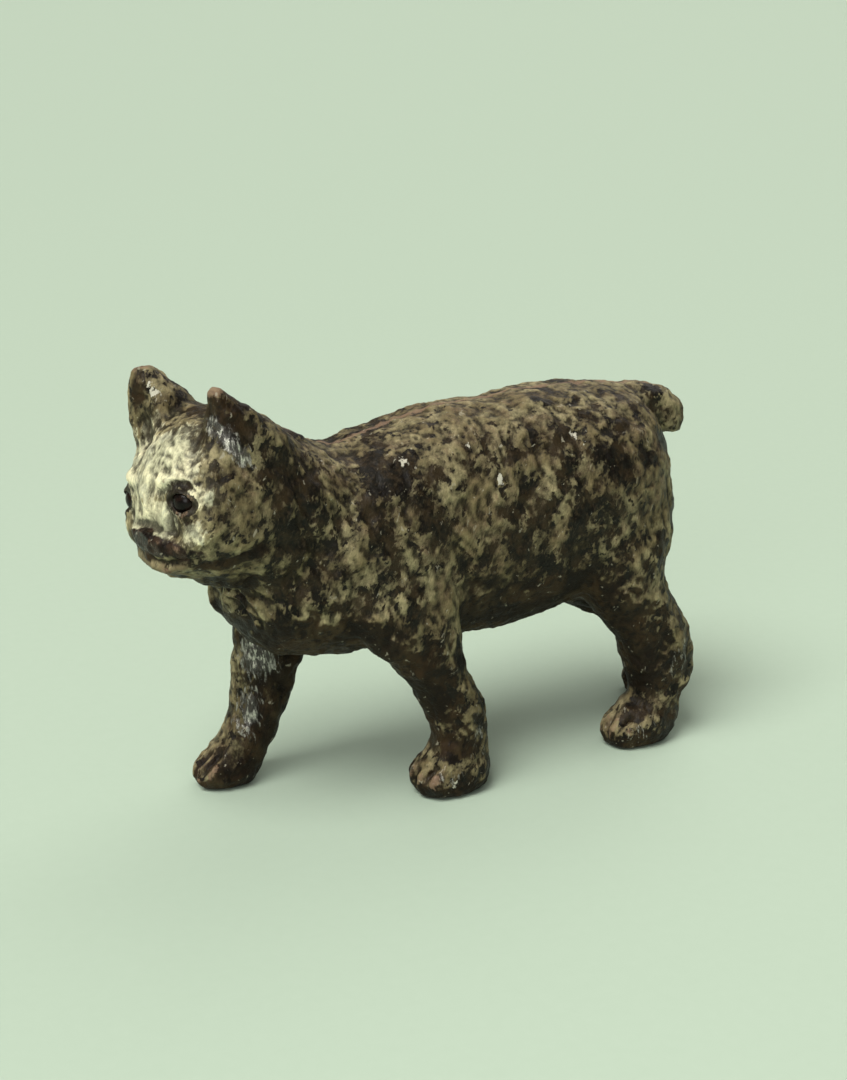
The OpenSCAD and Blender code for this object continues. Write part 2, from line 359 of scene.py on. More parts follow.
def edges_of(mesh):
    flat = np.empty(len(mesh.edges) * 2, np.int32)
    mesh.edges.foreach_get("vertices", flat)
    return flat.reshape(-1, 2)


def spread(values, edges, rounds, share=0.6, hold=None):
    """Evens out values over the mesh: each moves a share of the way to its neighbours' mean."""
    values = np.array(values, float)
    n = len(values)
    a, b = edges[:, 0], edges[:, 1]
    count = (np.bincount(a, minlength=n) + np.bincount(b, minlength=n)).clip(1)[:, None]
    pull = share if hold is None else share * (1 - hold)[:, None]
    for _ in range(rounds):
        total = np.stack([np.bincount(a, values[b, k], n) + np.bincount(b, values[a, k], n)
                          for k in range(values.shape[1])], -1)
        values += pull * (total / count - values)
    return values


def near(points, centre, radii):
    """A round falloff: 1 at the centre, 0 one radius away, smooth at both ends."""
    d2 = (((points - np.array(centre, float)) / np.array(radii, float)) ** 2).sum(-1)
    return np.clip(1 - d2, 0, 1) ** 2


def from_path(points, path):
    """Distance to a line through the path's points, and how far along it each point lies."""
    path = np.array(path, float)
    best = np.full(len(points), 1e9)
    along = np.zeros(len(points))
    lengths = np.linalg.norm(np.diff(path, axis=0), axis=1)
    starts = np.concatenate([[0], np.cumsum(lengths)])
    for a, b, start, length in zip(path[:-1], path[1:], starts, lengths):
        t = np.clip(((points - a) @ (b - a)) / length**2, 0, 1)
        d = np.linalg.norm(points - a - t[:, None] * (b - a), axis=1)
        along = np.where(d < best, (start + t * length) / starts[-1], along)
        best = np.minimum(best, d)
    return best, along


def stroke(points, path, width):
    """A soft line along a path: 1 on it, falling off over its width, fading at its ends."""
    d, along = from_path(points, path)
    ends = np.clip(np.minimum(along, 1 - along) * 6, 0, 1)
    return np.exp(-((d / width) ** 2)) * (0.35 + 0.65 * ends)


LATTICE = 48
LATTICES = rng.random((4, LATTICE, LATTICE, LATTICE))


def noise(points, size, which=0):
    """Smooth value noise: a lattice of random numbers, blended between its corners."""
    q = points / size
    base = np.floor(q).astype(int)
    f = q - base
    f = f * f * (3 - 2 * f)
    table = LATTICES[which]
    total = 0
    for dx in (0, 1):
        for dy in (0, 1):
            for dz in (0, 1):
                w = (np.where(dx, f[:, 0], 1 - f[:, 0]) * np.where(dy, f[:, 1], 1 - f[:, 1])
                     * np.where(dz, f[:, 2], 1 - f[:, 2]))
                i = (base + [dx, dy, dz]) % LATTICE
                total = total + w * table[i[:, 0], i[:, 1], i[:, 2]]
    return total * 2 - 1


def rough(points, size, octaves=3, which=0):
    """Several sizes of noise, each half the size and half the strength of the last."""
    return sum(noise(points + 17.3 * k, size / 2**k, which) / 2**k for k in range(octaves))


def combed(points, direction, width, length, which=1):
    """Noise drawn out along a direction, as tool strokes in fur are."""
    d = np.array(direction, float)
    d /= np.linalg.norm(d)
    along = points @ d
    return noise((points - along[:, None] * d) / width + along[:, None] * d / length, 1.0, which)


# ---------------------------------------------------------------- the cat's skin

EYES = {"left": middle("left_eye"), "right": middle("right_eye")}
# The face's own axes, taken from the eyes: u towards the cat's left, w forward, v up.
FACE_AT = (EYES["left"] + EYES["right"]) / 2
FACE_U = EYES["left"] - EYES["right"]
FACE_U /= np.linalg.norm(FACE_U)
FACE_W = np.cross(FACE_U, [0.0, 0.0, 1.0])
FACE_W /= np.linalg.norm(FACE_W)
FACE_V = np.cross(FACE_W, FACE_U)
EYE_R = 2.4
EYE_SLANT = 0.18  # how far the lids drop for each step outward


def face_coords(points):
    """The points' places on the face's own axes, from the middle between the eyes."""
    q = points - FACE_AT
    return np.stack([q @ FACE_U, q @ FACE_V, q @ FACE_W], -1)


def eye_axes(side):
    """The way an eye looks, forward and a little outward, and the way across its lids."""
    sign = 1 if side == "left" else -1
    out = FACE_W * 0.86 + FACE_U * 0.5 * sign
    out /= np.linalg.norm(out)
    return out, np.cross(FACE_V, out) * sign


def lids(p, side):
    """Raises an upper and a lower lid round an eye.

    The lids are arcs: up = height (1 - (across / half)^2), about the eye.
    """
    out, across = eye_axes(side)
    q = p - EYES[side]
    a, b, c = q @ across, q @ FACE_V, q @ out
    b = b + EYE_SLANT * a
    facing = np.clip(c / 1.5 + 0.6, 0, 1) * (np.abs(a) < 7) * (np.abs(b) < 7)
    reach = np.clip(1 - (a / 3.6) ** 2, 0, 1)
    top, under = 1.7 * reach, -1.9 * reach
    lift = 1.0 * np.exp(-(((b - top - 0.4) / 0.8) ** 2)) * np.sqrt(reach)
    lift += 0.55 * np.exp(-(((b - under + 0.5) / 0.8) ** 2)) * np.sqrt(reach)
    lift -= 0.5 * np.exp(-(((b - top - 2.2) / 0.7) ** 2)) * np.sqrt(np.clip(1 - (a / 5) ** 2, 0, 1))
    inside = np.clip((top - b) / 0.4, 0, 1) * np.clip((b - under) / 0.4, 0, 1)
    lift -= 0.35 * inside * np.clip(reach * 3, 0, 1)
    lift += 0.3 * np.exp(-(((np.abs(a) - 3.5) / 1.0) ** 2)) * np.exp(-((b / 1.4) ** 2))
    return p + out * (lift * facing)[:, None]


def sculpt(mesh):
    """Moves the skin's points: first the joins between the limbs, then the forms, then fur."""
    p = drawn(points_of(mesh))
    hold = np.clip((p[:, 2] - 88) / 6, 0, 1) * 0.8
    put_points(mesh, placed(spread(p, edges_of(mesh), 30, hold=hold)))
    p = drawn(points_of(mesh))
    n = normals_of(mesh)
    u, v, w = face_coords(p).T
    f = np.stack([np.abs(u), v, w], -1)
    lift = np.zeros(len(p))

    # brow, bridge of the nose, cheeks and muzzle
    lift += 1.0 * near(f, (8.5, 4.6, 3), (7, 2.6, 8))
    lift -= 0.3 * near(f, (7.5, 0.2, 3), (4.6, 3.6, 7))
    lift += 0.8 * near(f, (0, 1, 3), (3.4, 9, 8))
    lift += 1.3 * near(f, (12.5, -6, 0), (6, 5.5, 9))
    lift -= 0.9 * near(f, (8.5, -4.6, 3), (2.2, 4.5, 7))
    p = p + n * lift[:, None]
    for side in EYES:
        p = lids(p, side)
    put_points(mesh, placed(p))
    n = normals_of(mesh)

    # creases and ridges: path, width, height
    lines = [
        ([(-38, -19, 82), (-35.5, -18.8, 72), (-32, -18, 62), (-30, -18, 53)], 2.4, -0.9),
        ([(-60, -16, 61.4), (-54, -18.6, 62.6), (-48, -19.5, 64.4), (-42, -19.2, 67)], 1.5, -0.9),
        ([(-20, -20, 62), (-24, -19, 52), (-24, -18, 44)], 2.2, -0.5),
        ([(-1, -20, 62), (3, -19.5, 53), (5.5, -18, 45), (6, -16.5, 38)], 1.7, -1.0),
        ([(33, -21, 56), (31, -20, 47), (34, -18, 39)], 1.8, -0.8),
        ([(59, -18, 72), (60, -18.5, 62), (59.5, -18.5, 52), (56, -19, 44)], 1.2, -0.7),
        ([(44, -21, 50), (50, -20, 41), (57, -20, 34)], 2.6, 0.5),
        ([(-6, -21, 40), (-1, -21.5, 30), (3, -21, 20), (4, -20.5, 10)], 1.6, 0.45),
        ([(54, -20.5, 34), (60, -20.5, 26), (63, -20, 18)], 1.6, 0.5),
    ]
    mirrored = p * [1, -1, 1]
    for path, width, height in lines:
        body = stroke(p, path, width) + stroke(mirrored, path, width)
        p = p + n * (height * body)[:, None]

    # ears: a hollow in front, between raised rims
    for path, width, depth in (
            ([(-57.6, 8.4, 94.5), (-59.2, 7, 89), (-60.4, 5, 84.5), (-61.5, 3, 81)], 2.5, -1.5),
            ([(-54, -12.6, 95), (-56, -12.2, 89), (-57.5, -12, 84.5)], 2.0, -1.1),
            ([(-58.6, 12, 95), (-60.6, 11.6, 89), (-61.4, 10.4, 84)], 1.0, 0.6),
            ([(-54.6, 5, 96), (-56.8, 2.8, 89), (-58, 0.6, 84)], 0.9, 0.5)):
        p = p + n * (depth * stroke(p, path, width))[:, None]

    # nose pad, nostrils, mouth and lower lip
    p = p + n * (-0.55 * stroke(p, [(-64.2, 0, 68), (-64.4, -5.5, 69.4), (-63.2, -11, 69.2),
                                    (-60.2, -15.4, 68.6)], 0.9))[:, None]
    p = p + n * (0.7 * near(p, (-65, -6, 67.2), (4, 3.4, 2)))[:, None]
    roll = [(-62.6, 3, 66), (-65, -1.5, 66.2), (-65.6, -6, 66.6), (-64.2, -11, 66.4),
            (-61, -15, 66), (-57.4, -17, 65.8)]
    p = p + n * ((1.0 + 0.45 * rough(p, 2.6, 4, 2)) * stroke(p, roll, 1.7))[:, None]
    p = p + n * (-0.5 * stroke(p, [(-66, -6, 66.4), (-66, -6, 63.6)], 0.5))[:, None]
    for side in (-1, 1):
        p = p + n * (-0.55 * near(p, (-65.4, -6 + side * 2, 66.6), (2, 0.9, 0.8)))[:, None]
    mouth = [(-62, 3.5, 64.4), (-65, -1.5, 63.3), (-66, -6, 63.6), (-64.6, -11, 62.9),
             (-61.5, -15, 63.5), (-57.6, -17, 64.4)]
    p = p + n * (-1.0 * stroke(p, mouth, 0.7))[:, None]
    lip = [(-62.5, 1.5, 61.6), (-64.4, -6, 61.3), (-63.2, -11.5, 61.5), (-59.5, -15.4, 62.2)]
    p = p + n * (0.7 * stroke(p, lip, 1.0))[:, None]

    # toes: grooves over the front of each paw, and the step above it
    for leg in LEGS:
        x, y, _, a, b, _ = leg[-2]
        for k in (-1, 0, 1):
            path = [(x - a * 0.35, y + k * b * 0.55, 8.2), (x - a * 0.85, y + k * b * 0.52, 6),
                    (x - a * 1.05, y + k * b * 0.48, 3), (x - a * 1.05, y + k * b * 0.46, 1)]
            p = p + n * (-1.3 * stroke(p, path, 0.75))[:, None]
        for k in (-1.5, -0.5, 0.5, 1.5):
            p = p + n * (0.45 * near(p, (x - a * 0.8, y + k * b * 0.5, 4.4), (4, 1.7, 3.4)))[:, None]
    put_points(mesh, placed(p))
    n = normals_of(mesh)

    # carved fur, worn casting texture and dents
    ruff = near(p, (-40, -4, 52), (22, 27, 17)) + 0.8 * near(p, (-22, 0, 48), (24, 28, 14))
    neck = near(p, (-28, 0, 68), (24, 32, 24))
    rump = near(p, (60, 0, 60), (14, 26, 24))
    wave = 3.0 * np.stack([noise(p, 9.0, k) for k in range(3)], -1)
    lift = 1.9 * near(p, (-49, -6, 57), (7, 10, 5))
    lift += 0.85 * ruff * combed(p + wave, (0.45, 0.2, -0.9), 1.3, 4.4)
    lift += 1.15 * ruff * combed(p + wave, (0.6, 0.1, -0.8), 2.6, 6.0, 2)
    lift += 0.6 * neck * combed(p + wave, (0.7, 0, -0.7), 1.6, 5.0, 2)
    lift += 0.24 * rump * combed(p + wave * 0.5, (0.1, 0, -1), 1.1, 7.0, 3)
    lift += 0.24 * combed(p + wave, (0.4, 0, -0.92), 1.4, 4.5, 3)
    lift += 0.42 * rough(p, 6.5) + 0.27 * rough(p, 2.8, 2, 2) + 0.09 * rough(p, 1.0, 2, 1)
    pits = np.clip(noise(p, 1.9, 3) - 0.62, 0, 1)
    lift -= 0.9 * pits
    calm = sum(near(p, eye, (4.6, 4.6, 4)) for eye in EYES.values())
    smooth_parts = 1 - 0.55 * near(f, (0, 0, 3), (14, 13, 10))
    sole = np.clip(p[:, 2] / 1.5, 0, 1)
    p = p + n * (lift * (1 - 0.85 * np.clip(calm, 0, 1)) * smooth_parts * sole)[:, None]
    p[:, 2] = np.maximum(p[:, 2], 0)
    low_edge, high_edge = drawn(low), drawn(high)
    put_points(mesh, placed(np.clip(p, low_edge - [0.6, 0.4, 0], high_edge + [0.6, 0.4, 0.8])))


skin = lofts("skin", [smoothed(cross_rings(t)) for t in (TORSO, NECK_AND_HEAD, MUZZLE, BOBTAIL)]
             + [smoothed(level_rings(t)) for t in LEGS + EARS])
remeshed(skin, VOXEL)
sculpt(skin.data)

# ---------------------------------------------------------------- bench tools for the halves


def turned(name, profile, at):
    """A closed solid of revolution about Y: radius r at depth y along the profile."""
    t = np.linspace(0, 2 * np.pi, 48, endpoint=False)[None, :]
    y, r = (np.array(c, float)[:, None] for c in zip(*profile))
    points = np.stack([at[0] + r * np.cos(t), y + 0 * t, at[2] + r * np.sin(t)], -1)
    return lofts(name, [points])


def block(name, at, size):
    """A closed box of a size about a point."""
    corners = np.array([[x, y, z] for x in (-1, 1) for y in (-1, 1) for z in (-1, 1)]) * size / 2
    faces = [[0, 1, 3, 2], [4, 6, 7, 5], [0, 4, 5, 1], [2, 3, 7, 6], [0, 2, 6, 4], [1, 5, 7, 3]]
    piece = object_of(name, mesh_of(name, placed(corners + at), faces))
    outward(piece)
    return piece


def ball(name, at, r):
    """A sphere from rings of radius r sin(a) at height r cos(a), about Y."""
    a = np.linspace(0.02, np.pi - 0.02, 24)
    return turned(name, [(at[1] - r * math.cos(v), r * math.sin(v)) for v in a], at)


SCREWS = {name: middle(name + "_screw") for name in ("chest", "rump")}
KEEP = 60  # depth of the block that a half is kept within
SCREW_R, HEAD_R, NUT_W = 2.1, 4.0, 7.0
BORE_R, RECESS_R, POCKET_W = SCREW_R + 0.2, HEAD_R + 0.35, NUT_W + 0.3
GRIP = 15.5  # from the seam to the seat of a screw's head
SCREW_END = 8.2  # how deep the blind hole runs beyond the seam
POCKET_DEPTH = 4.3  # 1 mm of it beyond the seam


def coin_space():
    """The coin space: the torso and neck one wall in, less the screw posts."""
    piece = lofts("hollow", [smoothed(cross_rings(TORSO[2:-2], WALL, 40), 4),
                             smoothed(cross_rings(NECK_AND_HEAD[1:-3], WALL, 40), 4)])
    remeshed(piece, 1.0)
    p = drawn(points_of(piece.data))
    n = normals_of(piece.data)
    put_points(piece.data, placed(p - n * (0.12 + 0.3 * rough(p, 6.0, 3))[:, None]))
    for at in SCREWS.values():
        post = turned("post", [(-60, POST_R), (60, POST_R)], at)
        cut(piece, post, "DIFFERENCE")
        dropped(post)
    return piece


def half(name, side, space):
    """One half casting: the skin on one side of the seam, less the hollow and the bores."""
    piece = object_of(name, skin.data.copy())
    keep = block("keep", (0, side * (KEEP / 2 + SEAM_GAP / 2), 70), (240, KEEP, 150))
    cut(piece, keep, "INTERSECT")
    cut(piece, space, "DIFFERENCE")
    dropped(keep)
    tools = []
    for at in SCREWS.values():
        if side > 0:
            tools.append(turned("bore", [(-2, BORE_R), (GRIP + 1.5, BORE_R)], at))
            tools.append(turned("recess", [(GRIP, RECESS_R), (GRIP + 24.5, RECESS_R)], at))
        else:
            tools.append(turned("bore", [(-SCREW_END, BORE_R), (1, BORE_R)], at))
            tools.append(block("pocket", (at[0], 1 - POCKET_DEPTH / 2, at[2]),
                               (POCKET_W, POCKET_DEPTH, POCKET_W)))
    if side > 0:
        slot = frame["record"]["physics"]["openings"][0]["box_m"]
        a, b = drawn(slot[0]), drawn(slot[1])
        tools.append(block("slot", ((a[0] + b[0]) / 2, (a[1] + b[1]) / 2, 82),
                           (b[0] - a[0] + 1, b[1] - a[1] + 0.3, 26)))
    tools.append(ball("socket", EYES["right" if side > 0 else "left"], EYE_R + 0.05))
    for tool in tools:
        cut(piece, tool, "DIFFERENCE")
    dropped(*tools)
    return piece


# ---------------------------------------------------------------- where the finish changes


def tell(mesh, name, values):
    """Stores one number for each point of a mesh, for the materials to read."""
    mesh.attributes.new(name, "FLOAT", "POINT").data.foreach_set("value", values.astype(np.float32))


def patches(points, spots):
    """The strongest of several round patches: centre, radii, strength."""
    return np.max([strength * near(points, at, radii) for at, radii, strength in spots], axis=0)


def lines_of(points, lines):
    """The strongest of several soft lines: path, width, strength."""
    return np.max([strength * stroke(points, path, width) for path, width, strength in lines],
                  axis=0)


def mark(piece):
    """Measures a half's skin: grooves and ridges, and where paint, painted shade with dirt, and metal show.
    """
    mesh = piece.data
    p, n, edges = drawn(points_of(mesh)), normals_of(mesh), edges_of(mesh)
    m = p * [1, 0, 1] - [0, 1, 0] * np.abs(p[:, 1:2])
    u, v, w = face_coords(p).T
    f = np.stack([np.abs(u), v, w], -1)

    fine = ((spread(p, edges, 4) - p) * n).sum(-1)
    broad = ((spread(p, edges, 24) - p) * n).sum(-1)
    groove = np.clip(fine / 0.05, -1, 1) * 0.45 + np.clip(broad / 0.3, -1, 1) * 0.55
    tell(mesh, "groove", groove)

    pale = patches(f, [((4, 7, 0), (15, 10.5, 13), 1.5), ((4, -3.5, 3), (9, 8, 9), 1.3),
                       ((13.4, 0.6, -2), (6, 5.5, 9), 0.85), ((12, -6.5, 0), (6, 5, 8), 0.8),
                       ((7, 14, -4), (9, 7, 9), 0.6)])
    tell(mesh, "pale", np.clip(pale, 0, 1) * np.clip(1.2 + n @ FACE_W * 0.6, 0, 1))

    muzzle = 1.4 * stroke(p, [(-63, 3, 64.6), (-65, -1, 65.1), (-65.5, -6, 66), (-64, -11, 66),
                              (-61, -14.6, 65.9), (-57, -17.2, 65.6)], 2.1)
    muzzle = np.clip(muzzle + patches(p, [((-65, -6.4, 67), (4, 4.2, 2.6), 1.1)]), 0, 1)
    muzzle *= np.clip((p[:, 2] - 62.3) / 0.8, 0, 1)
    tell(mesh, "muzzle", muzzle)
    lip = 1.3 * stroke(p, [(-62.5, 1.5, 61.4), (-64.6, -6, 61.3), (-63.2, -11.5, 61.5),
                           (-59.5, -15.4, 62.2)], 1.2)
    tell(mesh, "lip", np.clip(lip, 0, 1))

    # Dark paint round each eye and dark face markings, with a band of painted shade under each brow.
    rims = []
    for side, eye in EYES.items():
        q = p - eye
        out, across = eye_axes(side)
        a, b = q @ across, q @ FACE_V + EYE_SLANT * (q @ across)
        r = np.sqrt((a / 3.3) ** 2 + (b / 2.4) ** 2)
        close = (np.linalg.norm(q, axis=1) < 8) * np.clip(q @ out + 1.5, 0, 1)
        rims.append(1.4 * close * np.clip((1.2 - r) / 0.2, 0, 1))
        brow_shade = np.exp(-(((b - 3.4 + 0.05 * a * a) / 1.4) ** 2)) * np.clip(1.6 - np.abs(a) / 2.6, 0, 1)
        rims.append(close * brow_shade * 0.68)
    spots = patches(f, [((12.6, 8.4, 0), (2.6, 2.1, 6), 0.9), ((12.2, 5.2, 0), (1.6, 1.2, 6), 0.6),
                        ((12.5, -3.8, 0), (2.4, 1.5, 6), 0.8), ((16, -3.4, 0), (2.6, 2, 8), 0.8),
                        ((13.6, 3.4, 0), (1.9, 1.4, 6), 0.8)])
    tears = 0.9 * stroke(f, [(13.4, -0.6, 0), (11, -3.6, 3), (8.6, -6.4, 4)], 0.9)
    tell(mesh, "eye_lines_and_brow_shade", np.clip(np.max(rims + [spots, tears], axis=0), 0, 1))

    # how thick the black patches lie: 0.5 is the common share
    dense = 0.5 + patches(m, [((-36, -18, 70), (13, 14, 24), 0.3), ((-14, -17, 72), (15, 14, 15), 0.22),
                              ((17, -19, 58), (10, 12, 17), 0.16), ((38, -18, 66), (17, 14, 24), 0.2),
                              ((30, -20, 48), (14, 12, 9), 0.28), ((-47, -14, 90), (9, 7, 9), 0.35),
                              ((-20, -20, 44), (14, 10, 9), 0.1), ((0, -16, 16), (9, 10, 14), 0.2),
                              ((56, -16, 16), (10, 10, 18), 0.18), ((66, -6, 56), (6, 14, 18), 0.15),
                              ((-8, -20, 33), (8, 8, 11), 0.25), ((2, -20, 5), (13, 9, 6), 0.22),
                              ((58, -20, 5), (13, 9, 6), 0.22),
                              ((-57, 8, 92), (6, 6, 8), 0.25)])
    dense -= patches(m, [((5, -19, 66), (9, 12, 12), 0.22), ((14, -8, 84), (34, 14, 6), 0.2),
                         ((-4, -21, 48), (9, 8, 10), 0.25), ((54, -20, 57), (8, 8, 14), 0.2),
                         ((9, -19, 46), (12, 9, 9), 0.22), ((-47, -18, 74), (8, 8, 8), 0.2)])
    dense -= 0.35 * near(f, (0, 3, 0), (15, 14, 14))
    tell(mesh, "dense", dense)

    # painted shade with some grime, dark brown: under the body and belly, inside and on the front of the
    # legs, in the ear hollows, under the jaw and low on the flank
    down = np.clip(-n[:, 2] * 1.5 + 0.15, 0, 1)
    low_body = np.clip((54 - p[:, 2]) / 14, 0, 1)
    inner = np.clip(n[:, 1] * -np.sign(p[:, 1]), 0, 1) * np.clip((46 - p[:, 2]) / 8, 0, 1)
    belly = near(p, (19, 0, 37), (30, 26, 15))
    shade_and_grime = np.clip(1.3 * down * low_body + 3.0 * belly * np.clip(0.5 - n[:, 2], 0, 1) + 0.55 * inner, 0, 1)
    front_of_hock = lines_of(m, [([(43, -17, 38), (47, -19, 30), (50.5, -18.6, 21), (50, -18, 12)], 4.2, 1.1),
                                 ([(-5, -19, 15), (-1, -21, 11), (4, -20, 12)], 2.6, 1.0)])
    ears = np.maximum(0.62 * patches(p, [((-49, -14, 92), (8, 5, 8), 1)]),
                      lines_of(p, [([(-59, 9.5, 95), (-61, 7.6, 88), (-61.5, 6, 83)], 2.2, 0.85),
                                   ([(-55.5, -12.2, 93), (-57.5, -12, 86)], 1.6, 0.8)]))
    throat = near(p, (-46, -4, 57), (14, 16, 6)) * np.clip(0.2 - n[:, 2], 0, 1) * 1.3
    under_jaw = 0.9 * stroke(m, [(-59, -15, 60.8), (-52, -18.5, 62.4), (-44, -19, 65)], 1.5)
    flank = patches(m, [((14, -20, 44), (19, 10, 11), 0.42), ((-8, -20, 33), (9, 9, 10), 0.5)])
    shade_and_grime = np.max([shade_and_grime, front_of_hock * 0.95, ears, throat, under_jaw, flank], axis=0)
    tell(mesh, "shade_and_grime", np.clip(shade_and_grime, 0, 1))

    # polished grey metal, worn high edges and white chips
    silver = patches(p, [((-34, 8, 31), (9, 9, 12), 1.2), ((-37, 8, 19), (7, 8, 13), 1.05),
                         ((61, -19, 22), (6, 7, 12), 0.65), ((6, -20, 17), (5, 6, 11), 0.6),
                         ((52, -20, 5), (7, 7, 5), 0.5), ((-2, -21, 5), (8, 7, 5), 0.5),
                         ((72, 6, 24), (8, 8, 16), 0.4), ((-20, 21, 40), (10, 6, 30), 0.3)])
    silver = np.maximum(silver, 1.2 * stroke(f, [(12.5, 17, -4), (15, 11, -9), (16.5, 5, -13)], 2.2))
    tell(mesh, "silver", np.clip(silver, 0, 1))
    crest = np.clip(1 - np.abs(p[:, 1]) / 2.2, 0, 1) * np.clip((p[:, 2] - 70) / 8, 0, 1) * (p[:, 0] > -44)
    tip = patches(p, [((-56.8, 10.8, 98), (3, 4, 2.5), 0.8), ((-52, -12.5, 97), (2.5, 3, 2.5), 0.8)])
    ridge = np.clip(-broad / 0.35 - 0.5, 0, 1)
    tell(mesh, "worn", np.clip(0.9 * crest + tip + 0.6 * ridge, 0, 1))
    chips = patches(p, [((-57.4, 6.4, 95.6), (1.6, 1.6, 1.9), 1),
                        ((-56.8, 6.2, 93.4), (1.5, 1.5, 1.6), 1.1),
                        ((32.6, -16.5, 77.9), (1.6, 2, 1.5), 1.2),
                        ((34.2, -17.3, 75.6), (0.9, 1.5, 1.3), 1.1),
                        ((-9.1, -13, 76.4), (1.4, 2, 1.6), 1.2), ((12.1, -17.9, 70.7), (1.1, 1.5, 1.9), 1.1),
                        ((-1.3, -21.7, 3.9), (1.1, 1.5, 1.5), 1.2), ((6.6, -14, 78.3), (0.8, 1.4, 0.8), 0.9),
                        ((20, 17, 72), (1.6, 2.4, 1.4), 1.1), ((44, 19, 66), (1.2, 2, 2), 1.1),
                        ((-30, 17, 70), (1.4, 2, 1.8), 1.1)])
    ear_rim = stroke(p, [(-57.6, 6.0, 97), (-57.6, 6.6, 94.6), (-55.8, 5.6, 93)], 0.7)
    tell(mesh, "chipped", np.clip(np.maximum(chips, ear_rim), 0, 1))


# ---------------------------------------------------------------- finishes


class Wire:
    """A shader socket; sums, differences and products of wires add Math nodes."""

    def __init__(self, finish, socket):
        self.finish, self.socket = finish, socket

    def math(self, operation, *values):
        return self.finish.node("Math", {"operation": operation}, dict(enumerate(values)))

    def __add__(self, other):
        return self.math("ADD", self, other)

    def __sub__(self, other):
        return self.math("SUBTRACT", self, other)

    def __rsub__(self, other):
        return self.math("SUBTRACT", other, self)

    def __mul__(self, other):
        return self.math("MULTIPLY", self, other)

    __radd__, __rmul__ = __add__, __mul__

    def most(self, other):
        return self.math("MAXIMUM", self, other)

    def least(self, other):
        return self.math("MINIMUM", self, other)

    def size(self):
        return self.math("ABSOLUTE", self)

    def over(self, a, b):
        """0 below a, 1 above b, smooth between them."""
        settings = {"interpolation_type": "SMOOTHSTEP"}
        return self.finish.node("MapRange", settings, {"Value": self, "From Min": a, "From Max": b})


class Finish:
    """One material: its nodes are made through node(), and its shader takes the results."""

    def __init__(self, name):
        self.material = bpy.data.materials.new(name)
        self.material.use_nodes = True
        self.tree = self.material.node_tree
        self.shader = self.tree.nodes["Principled BSDF"]
        self.place = self.node("TexCoord", {}, {}, "Object")

    def plug(self, socket, value):
        if isinstance(value, Wire):
            self.tree.links.new(value.socket, socket)
        else:
            socket.default_value = (*value, 1.0) if socket.type == "RGBA" else value

    def node(self, kind, settings, values, out=0):
        """Adds a shader node: its settings first, then the values or links of its sockets."""
        node = self.tree.nodes.new("ShaderNode" + kind)
        for key, value in settings.items():
            setattr(node, key, value)
        for key, value in values.items():
            self.plug(node.inputs[key], value)
        return Wire(self, node.outputs[out])

    def mix(self, factor, a, b, blend="MIX"):
        """A colour between a and b; the colour sockets of a Mix node are 6 and 7."""
        return self.node("Mix", {"data_type": "RGBA", "blend_type": blend}, {0: factor, 6: a, 7: b}, 2)

    def attribute(self, name):
        return self.node("Attribute", {"attribute_name": name}, {}, "Fac")

    def stretched(self, lengths, turn):
        """The place on the object in units of three lengths in mm, turned about Y first."""
        scale = tuple(1000 / v for v in lengths)
        place = self.node("Mapping", {}, {"Vector": self.place, "Rotation": (0, turn, 0)})
        return self.node("Mapping", {}, {"Vector": place, "Scale": scale})

    def grain(self, lengths, turn, detail, roughness=0.55, bend=0.0):
        """Fractal noise of about 0.5, stretched and turned; bend drags it out of shape."""
        return self.node("TexNoise", {}, {"Vector": self.stretched(lengths, turn), "Scale": 1.0,
                                          "Detail": detail, "Roughness": roughness,
                                          "Distortion": bend})

    def give(self, **values):
        """Sets the shader's own sockets: Base_Color=..., Roughness=..."""
        for key, value in values.items():
            self.plug(self.shader.inputs[key.replace("_", " ")], value)

    def relief(self, height, depth):
        """A Bump node whose height is in mm."""
        self.give(Normal=self.node("Bump", {}, {"Strength": 1.0, "Distance": depth * MM,
                                                "Height": height}, "Normal"))


